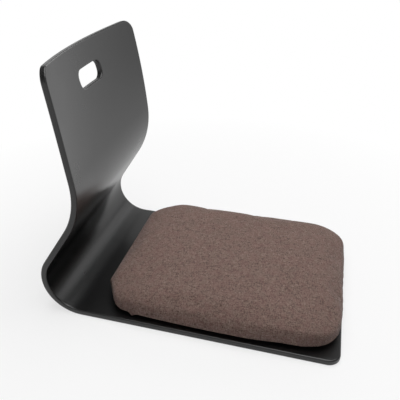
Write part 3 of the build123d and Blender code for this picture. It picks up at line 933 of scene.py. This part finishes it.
finishes = {
    "seat_hook_patches": hooks, "cushion_loop_patches": loops, "zip_tape_upper": tape, "zip_tape_lower": tape,
    "zip_coil_upper": coilNylon, "zip_coil_lower": coilNylon, "zip_end_stops": coilNylon,
    "zip_slider": enamel, "zip_pull": enamel,
}
for name, material in finishes.items():
    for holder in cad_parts[name].material_slots:
        holder.material = material
print("finishes set on", len(finishes), "packed nodes")


view = {
    "place": (-0.8106, -0.1796, 0.6828), "yaw": 15.52, "pitch": 30.885, "roll": 0.126,
    "focalPixels": 512.4, "frame": 400, "axisX": 186.2, "axisY": 195.6,
}


def aimCamera():
    yaw, pitch, roll = (math.radians(view[key]) for key in ("yaw", "pitch", "roll"))
    forward = Vector((math.cos(yaw) * math.cos(pitch), math.sin(yaw) * math.cos(pitch), -math.sin(pitch)))
    right = forward.cross(Vector((0, 0, 1))).normalized()
    up = right.cross(forward)
    turn = Matrix((right, up, -forward)).transposed().to_4x4() @ Matrix.Rotation(roll, 4, "Z")
    camera = bpy.data.cameras.new("camera")
    camera.sensor_width = 36
    camera.lens = view["focalPixels"] / view["frame"] * camera.sensor_width
    camera.shift_x = (view["frame"] / 2 - view["axisX"]) / view["frame"]
    camera.shift_y = (view["axisY"] - view["frame"] / 2) / view["frame"]
    holder = bpy.data.objects.new("camera", camera)
    holder.matrix_world = Matrix.Translation(view["place"]) @ turn
    bpy.context.collection.objects.link(holder)
    bpy.context.scene.camera = holder


studio = {
    "floor": 0.82, "floorHalf": 8.0, "fadeStart": 0.25, "fadeEnd": 0.85, "leastWhite": 0.66,
    "ambient": 0.05, "ceiling": 0.11, "backdropLow": 0.14, "backdropHigh": 0.22,
    # place, aim, size and watts of each soft lamp
    "lamps": {
        "nearLamp": ((-1.4, -0.3, 1.6), (0, 0, 0.1), (1.2, 1.2), 4),
        "overheadLamp": ((0.10, -0.1, 1.7), (0, -0.05, 0), (1.5, 1.5), 29.5),
        "sideStrip": ((2.4, 0.0, 1.2), (0, 0, 0.1), (1.4, 0.60), 6.5),
        "rearStrip": ((2.0, 1.35, 1.2), (0, 0, 0.1), (1.4, 0.60), 2.6),
        "foreStrip": ((2.0, -1.35, 1.25), (0, 0, 0.1), (1.4, 1.15), 6.5),
        "lowStrip": ((0.9, -2.2, 1.2), (0, 0, 0.1), (1.2, 0.55), 2),
    },
}


def softLamp(name, place, target, size, watts):
    lamp = bpy.data.lights.new(name, "AREA")
    lamp.shape = "RECTANGLE"
    lamp.size, lamp.size_y = size
    lamp.energy = watts
    holder = bpy.data.objects.new(name, lamp)
    direction = Vector(target) - Vector(place)
    holder.matrix_world = Matrix.Translation(place) @ direction.to_track_quat("-Z", "Y").to_matrix().to_4x4()
    bpy.context.collection.objects.link(holder)


def seenDirectly(w):
    # 1 for what the camera sees itself or in a gloss or through glass, 0 for the light that falls on things
    rays = w.add("LightPath")
    seen = w.math("MAXIMUM", rays.outputs["Is Camera Ray"], rays.outputs["Is Glossy Ray"])
    return w.math("MAXIMUM", seen, rays.outputs["Is Transmission Ray"])


def buildFloor():
    # a pale floor that keeps the shadow near the object and turns to plain white further out
    half = studio["floorHalf"]
    corners = [(-half, -half, 0), (half, -half, 0), (half, half, 0), (-half, half, 0)]
    floor = makeMesh("floor", corners, [(0, 1, 2, 3)])
    pale = bpy.data.materials.new("paleFloor")
    pale.use_nodes = True
    tree = pale.node_tree
    w = Wires(tree)
    shader = tree.nodes["Principled BSDF"]
    for key, value in (("Base Color", gray(studio["floor"])), ("Roughness", 0.95), ("Specular IOR Level", 0.1)):
        w.feed(shader, key, value)
    white = w.add("Emission", None, Color=(1, 1, 1, 1), Strength=1.0)
    far = w.add("VectorMath", {"operation": "LENGTH"}, i0=w.add("TexCoord").outputs["Object"]).outputs["Value"]
    share = w.spread(far, studio["fadeStart"], studio["fadeEnd"], studio["leastWhite"])
    share = w.math("MULTIPLY", share, seenDirectly(w))
    blended = w.add("MixShader", None, i0=share, i1=shader.outputs[0], i2=white.outputs[0])
    w.feed(tree.nodes["Material Output"], "Surface", blended.outputs[0])
    floor.data.materials.append(pale)


def buildWorld():
    # white to the camera; a gloss sees white low all round and a dim ceiling; an even dim light falls on everything
    world = bpy.data.worlds.new("studio")
    world.use_nodes = True
    bpy.context.scene.world = world
    w = Wires(world.node_tree)
    up = w.add("SeparateXYZ", None, Vector=w.add("TexCoord").outputs["Generated"]).outputs["Z"]
    low = w.spread(up, studio["backdropHigh"], studio["backdropLow"])
    direct = w.add("LightPath").outputs["Is Camera Ray"]
    shown = w.mix(w.math("MAXIMUM", low, direct), gray(studio["ceiling"]), (1, 1, 1, 1))
    color = w.mix(seenDirectly(w), gray(studio["ambient"]), shown)
    w.feed(world.node_tree.nodes["Background"], "Color", color)


buildFloor()
buildWorld()
for lampName, facts in studio["lamps"].items():
    softLamp(lampName, *facts)
aimCamera()
bpy.context.scene.view_settings.view_transform = "Standard"
print("stage, lamps and camera set")
